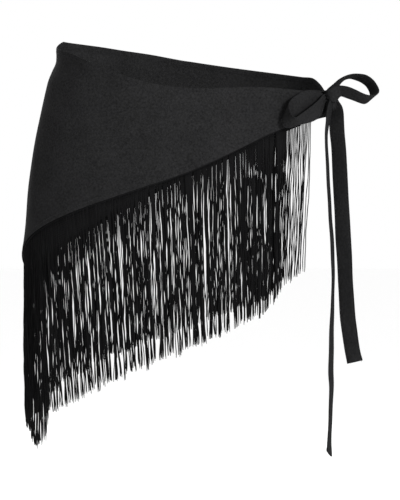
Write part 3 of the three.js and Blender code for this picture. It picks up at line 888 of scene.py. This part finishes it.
def make_fringe(stretch):
    """One hem's fringe: a knitted header and its hanging strands."""
    make_header(stretch)
    random = np.random.default_rng(FRINGE_SEEDS[stretch.name])
    spacing = settings().strand_spacing / MM
    shares = hem_places(stretch, spacing, stretch.fringe_end)
    count = len(shares)
    angle = cloth_angle(stretch, shares)
    root = cloth_point(stretch, shares, 1.0, HEADER_BELOW_HEM - 1)
    out = outward_direction(angle, root[:, 2])
    root -= out * HEADER_INSET
    side = np.stack([-out[:, 1], out[:, 0], np.zeros(count)], axis=1)
    t = np.linspace(0, 1, STRAND_STEPS)

    # Neighbouring strands cling together in small bunches, and each bunch ends at nearly one height. Where
    # the strands are sparse they hang singly.
    bunch = np.cumsum(random.random(count) < BUNCH_CHANCE)
    bunches = bunch[-1] + 1
    centre = np.array([np.mean(np.nonzero(bunch == b)[0]) for b in bunch])
    crowding = np.minimum(read_column(stretch.strands, "crowding", angle), 1)
    cling = random.uniform(*BUNCH_CLING, bunches)[bunch] * crowding ** 2
    pull = (centre - np.arange(count)) * spacing * cling
    ragged = random.normal(0, STRAND_RAGGED, count) + random.normal(0, BUNCH_RAGGED, bunches)[bunch]
    ragged += np.where(random.random(count) < ODD_CHANCE, random.uniform(*ODD_LENGTHS, count), 0)
    length = read_column(stretch.strands, "length", angle) + ragged
    slant = np.tan(np.radians(read_column(stretch.strands, "slant", angle)))
    drop = length[:, None] * t
    lean = random.normal(0, BUNCH_LEAN, bunches)[bunch]
    wave = np.zeros((count, STRAND_STEPS))
    swing = np.zeros((count, STRAND_STEPS))
    for sway in STRAND_SWAYS:
        for offsets in (wave, swing):
            phase = random.uniform(0, 2 * math.pi, bunches)[bunch] + random.normal(0, sway.stray, count)
            turn = 2 * math.pi * sway.cycles * t + phase[:, None]
            offsets += sway.size * (np.sin(turn) - np.sin(phase)[:, None])
    layer = random.normal(0, STRAND_LAYER, count)

    # A bunch closes up below the header and opens again at its ends.
    grip = (0.4 + 0.6 * smoothstep(t, 0.0, 0.3)) * (1 - 0.55 * smoothstep(t, 0.72, 1))
    fade = smoothstep(t, 0, 0.35)
    sideways = pull[:, None] * grip + lean[:, None] * grip * t + wave * fade
    depth = swing * fade + layer[:, None] * smoothstep(t, 0.02, 0.4)
    centres = root[:, None] + side[:, None] * sideways[..., None] + out[:, None] * depth[..., None]
    centres[..., 0] += slant[:, None] * drop
    centres[..., 2] -= drop

    turns = np.arange(STRAND_SIDES) * 2 * math.pi / STRAND_SIDES
    radius = settings().strand_diameter / MM / 2 * random.uniform(*STRAND_GIRTHS, (count, 1))
    knobs = 1 + 0.06 * np.sin(40 * t + np.arange(count)[:, None])
    girth = radius * np.where(t > 0.985, 0.55, 1.0) * knobs
    around = side[:, None, None] * np.cos(turns)[:, None] + out[:, None, None] * np.sin(turns)[:, None]
    rings = centres[:, :, None] + around * girth[..., None, None]
    points, faces, uvs = tube_parts(rings, drop * MM)
    strands = new_piece(f"fringe_{stretch.name}_strands", points, faces, cord_material(), uvs)
    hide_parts(f"fringe_{stretch.name}")


def make_header(stretch):
    """The knitted tape: a narrow strip with a rib for each strand."""
    spacing = settings().strand_spacing / MM
    height = settings().header_height / MM
    places = hem_places(stretch, spacing / 4, stretch.fringe_end)
    if stretch.knot_angle < POINT_ANGLE:
        places = places[::-1]
    depths = np.array([0.0, 0.3, 1.1, 1.9, 2.7, 3.5, height - 0.3, height])
    below = depths + HEADER_BELOW_HEM - height
    points = np.array([cloth_point(stretch, np.full(len(depths), share), 1.0, below) for share in places])
    normals = grid_normals(points)
    points = points - normals * HEADER_INSET
    ribs = HEADER_RELIEF * np.cos(2 * math.pi * np.arange(len(places)) / 4)[:, None]
    chain = HEADER_RELIEF * np.cos(2 * math.pi * (depths - 0.3) / COURSE_HEIGHT)
    half = (HEADER_HALF + ribs + chain) * np.where((depths < 0.1) | (depths > height - 0.1), 0.45, 1.0)
    outer = points + normals * half[..., None]
    inner = points - normals * half[..., None]
    columns, rows = points.shape[:2]
    faces = wall_faces(columns, rows)
    points = np.concatenate([outer.reshape(-1, 3), inner.reshape(-1, 3)])
    lengthways = np.repeat(np.arange(columns), rows) * spacing / 4 * MM
    downwards = np.tile(depths * MM, columns)
    lookup = np.stack([np.tile(lengthways, 2), np.tile(downwards, 2)], axis=1)
    uvs = np.concatenate([lookup[list(face)] for face in faces])
    new_piece(f"fringe_{stretch.name}_header", points, faces, cord_material(), uvs)


def strap_frame(stations, steps):
    """Middle, forward, across and outward directions and half widths along a strap."""
    t = np.linspace(0, 1, steps)
    middle = curve_through([station[:3] for station in stations], t)
    forward = unit(np.gradient(middle, axis=0))
    turn = np.radians([station.turn for station in stations])
    lean = np.radians([station.lean for station in stations])
    across = np.stack([np.cos(lean) * np.cos(turn), np.cos(lean) * np.sin(turn), np.sin(lean)], axis=1)
    side = unit(curve_through(across, t))
    out = unit(np.cross(forward, side))
    half_width = curve_through([[station.width] for station in stations], t)[:, 0] / 2
    return middle, forward, side, out, half_width


def strap_lift(pinch, ripple, across):
    """How far the strap's curl near the knot and its ripples lift the places across it."""
    curl = pinch * 1.5 * np.cos(2.5 * math.pi * across)
    return curl + 0.25 * ripple * np.sin(math.pi * across) + ripple * 0.6 * (1 - pinch)


def slow_waves(lengths, random, waves):
    """Slow waves along a strap, from pairs of size and reach."""
    return sum(size * np.sin(lengths / reach + random.uniform(0, 6.3)) for size, reach in waves)


def make_strap(strap):
    """A turned, pressed strap with stitched edges. A free end has a folded, stitched tip."""
    middle, forward, side, out, half_width = strap_frame(strap.stations, STRAP_STEPS)
    random = np.random.default_rng(strap.seed)
    lengths = np.concatenate([[0], np.cumsum(np.linalg.norm(np.diff(middle, axis=0), axis=1))])
    end = lengths[-1]
    half = settings().strap_thickness / MM / 2
    from_knot = lengths if strap.free_end else np.minimum(lengths, end - lengths)
    pinch = np.exp(-((from_knot / PINCH_REACH) ** 2))
    drift = slow_waves(lengths, random, ((0.35, 21), (0.2, 9))) * 0.5
    ripple = slow_waves(lengths, random, ((0.4, 16), (0.22, 7)))
    width = half_width * (1 + 0.015 * np.sin(lengths / 13 + random.uniform(0, 6.3)))
    folded = np.ones(STRAP_STEPS)
    if strap.free_end:
        folded += TIP_FOLD_SWELL * smoothstep(lengths, end - TIP_FOLD - 0.5, end - TIP_FOLD + 0.5)
    section = np.array(STRAP_SECTION + [(-across, -thick) for across, thick in STRAP_SECTION])
    across, thick = section[:, 0], section[:, 1]
    lift = strap_lift(pinch[:, None], ripple[:, None], across)
    rings = middle[:, None] + side[:, None] * (width[:, None] * across + drift[:, None])[..., None]
    rings = rings + out[:, None] * (half * folded[:, None] * thick + lift)[..., None]
    if strap.free_end:
        near_end = smoothstep(lengths, end - CUT_REACH, end)
        rings = rings + forward[:, None] * (near_end[:, None] * strap.cut_slant * across)[..., None]
        rings[-1] = rings[-1] + (rings[-2] - rings[-1]) * 0.75
        rings[-1] = middle[-1] + (rings[-1] - middle[-1]) * 0.985
    points, faces, uvs = tube_parts(rings[None], (lengths * MM)[None])
    piece = new_piece(strap.name, points, faces, strap_material(), uvs)
    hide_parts(strap.node)

    pitch = settings().stitch_pitch / MM
    count = int((end - STITCH_FROM_KNOT - STITCH_FROM_TIP) / pitch)
    last = end - (STITCH_FROM_TIP if strap.free_end else STITCH_FROM_KNOT)
    at = np.linspace(STITCH_FROM_KNOT, last, count)
    parts = []
    for edge in (-STITCH_LINE, STITCH_LINE):
        for face in (-1, 1):
            rise = face * half * STITCH_GROOVE * folded + strap_lift(pinch, ripple, edge)
            line = middle + side * (width * edge + drift)[:, None] + out * rise[:, None]
            places, ahead, outs = (
                np.stack([np.interp(at, lengths, values[:, axis]) for axis in range(3)], axis=1)
                for values in (line, forward, out)
            )
            parts.append(stitches(places, unit(ahead), unit(outs) * face,
                                  pitch * STITCH_SHARE, STRAP_THREAD_RADIUS))
    return piece, parts


def make_knot():
    """The binding turn of strap round the middle of the bow, with gathers that run round it."""
    around, across = 96, 48
    turn = np.linspace(0, 2 * math.pi, around, endpoint=False)[:, None]
    place = np.sin(np.linspace(-math.pi / 2, math.pi / 2, across))[None]
    radius = (1 - np.abs(place) ** KNOT_POWER) ** (1 / KNOT_POWER)
    square = np.abs(np.cos(turn)) ** KNOT_POWER + np.abs(np.sin(turn)) ** KNOT_POWER
    square = square ** (-1 / KNOT_POWER)
    crease = np.zeros((around, across))
    for row in KNOT_CREASES:
        line = row.at + row.sway * np.sin(turn + row.phase) + 0.04 * np.sin(3 * turn + row.phase)
        crease -= row.depth * np.exp(-((place - line) / row.width) ** 2)
    swell = 0.5 * np.sin(2 * turn + 0.6) * (1 - place ** 2)
    lift = (crease + swell) * np.sqrt(1 - place ** 2)
    points = np.stack([
        KNOT.x + KNOT.half_width * place + 0 * turn,
        KNOT.y + (KNOT.half_depth * square * radius + lift) * np.cos(turn),
        KNOT.z + (KNOT.half_height * square * radius + lift) * np.sin(turn),
    ], axis=-1)
    rings = points.transpose(1, 0, 2)[1:-1]
    lengths = np.linspace(0, 2 * KNOT.half_width, across - 2) * MM
    points, faces, uvs = tube_parts(rings[None], lengths[None])
    knot = new_piece("knot_binding", points, faces, strap_material(), uvs)
    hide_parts("tie_knot")
    return knot


def make_light(softbox):
    """A softbox that faces its target."""
    data = bpy.data.lights.new(softbox.name, "AREA")
    data.shape = "RECTANGLE"
    data.size, data.size_y = softbox.size
    data.energy = softbox.energy
    light = bpy.data.objects.new(softbox.name, data)
    light.location = softbox.location
    aim = Vector(softbox.target) - Vector(softbox.location)
    light.rotation_euler = aim.to_track_quat("-Z", "Y").to_euler()
    bpy.context.scene.collection.objects.link(light)


class HIPSCARF_OT_stage(bpy.types.Operator):
    """Add the pale floor, the soft lights and the camera"""

    bl_idname = "hipscarf.stage"
    bl_label = "Studio"

    def execute(self, context):
        scene = context.scene
        scene.view_settings.view_transform = "Standard"
        scene.view_settings.look = "None"
        world = bpy.data.worlds.new("white_studio")
        world.use_nodes = True
        background = world.node_tree.nodes["Background"]
        background.inputs["Color"].default_value = (1, 1, 1, 1)
        background.inputs["Strength"].default_value = 1.0
        scene.world = world
        mesh = bpy.data.meshes.new("studio_floor")
        corners = [(x * FLOOR_HALF, y * FLOOR_HALF) for x, y in ((-1, -1), (1, -1), (1, 1), (-1, 1))]
        mesh.from_pydata([(x, y, settings().floor_height) for x, y in corners], [], [(0, 1, 2, 3)])
        mesh.materials.append(studio_material("pale_paper", settings().floor_colour))
        floor = bpy.data.objects.new("studio_floor", mesh)
        scene.collection.objects.link(floor)
        for softbox in SOFTBOXES:
            make_light(softbox)
        elevation = math.radians(CAMERA_ELEVATION)
        target = Vector(CAMERA_TARGET)
        toward = Vector((0, math.cos(elevation), -math.sin(elevation)))
        data = bpy.data.cameras.new("studio_camera")
        data.sensor_width = SENSOR
        data.lens = SENSOR * CAMERA_DISTANCE / FRAME_HEIGHT
        data.clip_end = 50
        camera = bpy.data.objects.new("studio_camera", data)
        camera.location = target - toward * CAMERA_DISTANCE
        camera.rotation_euler = toward.to_track_quat("-Z", "Y").to_euler()
        scene.collection.objects.link(camera)
        scene.camera = camera
        return {"FINISHED"}


class HIPSCARF_OT_fringe(bpy.types.Operator):
    """Add the chainette fringe of both hems"""

    bl_idname = "hipscarf.fringe"
    bl_label = "Fringe"

    def execute(self, context):
        make_fringe(FRONT)
        make_fringe(BACK)
        return {"FINISHED"}


class HIPSCARF_OT_wrap(bpy.types.Operator):
    """Add the crepe wrap with its hems and stitching"""

    bl_idname = "hipscarf.wrap"
    bl_label = "Wrap"

    def execute(self, context):
        cloth = make_wrap()
        sewing = make_hem_stitches()
        return {"FINISHED"}


class HIPSCARF_OT_bow(bpy.types.Operator):
    """Add the bow: its two loops, its two tails and the knot"""

    bl_idname = "hipscarf.bow"
    bl_label = "Bow"

    def execute(self, context):
        knot = make_knot()
        sewing = []
        for strap in STRAPS:
            piece, parts = make_strap(strap)
            sewing += parts
        points, faces, uvs = join_parts(sewing)
        new_piece("strap_stitches", points, faces, thread_material(), uvs)
        return {"FINISHED"}


class HIPSCARF_PT_panel(bpy.types.Panel):
    """Buttons and sizes for the hip scarf"""

    bl_idname = "HIPSCARF_PT_panel"
    bl_label = "Fringed hip scarf"
    bl_space_type = "VIEW_3D"
    bl_region_type = "UI"
    bl_category = "Hip scarf"

    def draw(self, context):
        layout = self.layout
        for name in HipScarfSettings.__annotations__:
            layout.prop(context.scene.hip_scarf, name)
        for operator in OPERATORS:
            layout.operator(operator.bl_idname)


OPERATORS = (HIPSCARF_OT_stage, HIPSCARF_OT_fringe, HIPSCARF_OT_wrap, HIPSCARF_OT_bow)
CLASSES = (HipScarfSettings,) + OPERATORS + (HIPSCARF_PT_panel,)


def register():
    for cls in CLASSES:
        bpy.utils.register_class(cls)
    bpy.types.Scene.hip_scarf = bpy.props.PointerProperty(type=HipScarfSettings)


def unregister():
    del bpy.types.Scene.hip_scarf
    for cls in reversed(CLASSES):
        bpy.utils.unregister_class(cls)


def main():
    """Build the scarf and its studio."""
    register()
    bpy.ops.hipscarf.stage()
    bpy.ops.hipscarf.fringe()
    bpy.ops.hipscarf.wrap()
    bpy.ops.hipscarf.bow()


if __name__ == "__main__":
    main()
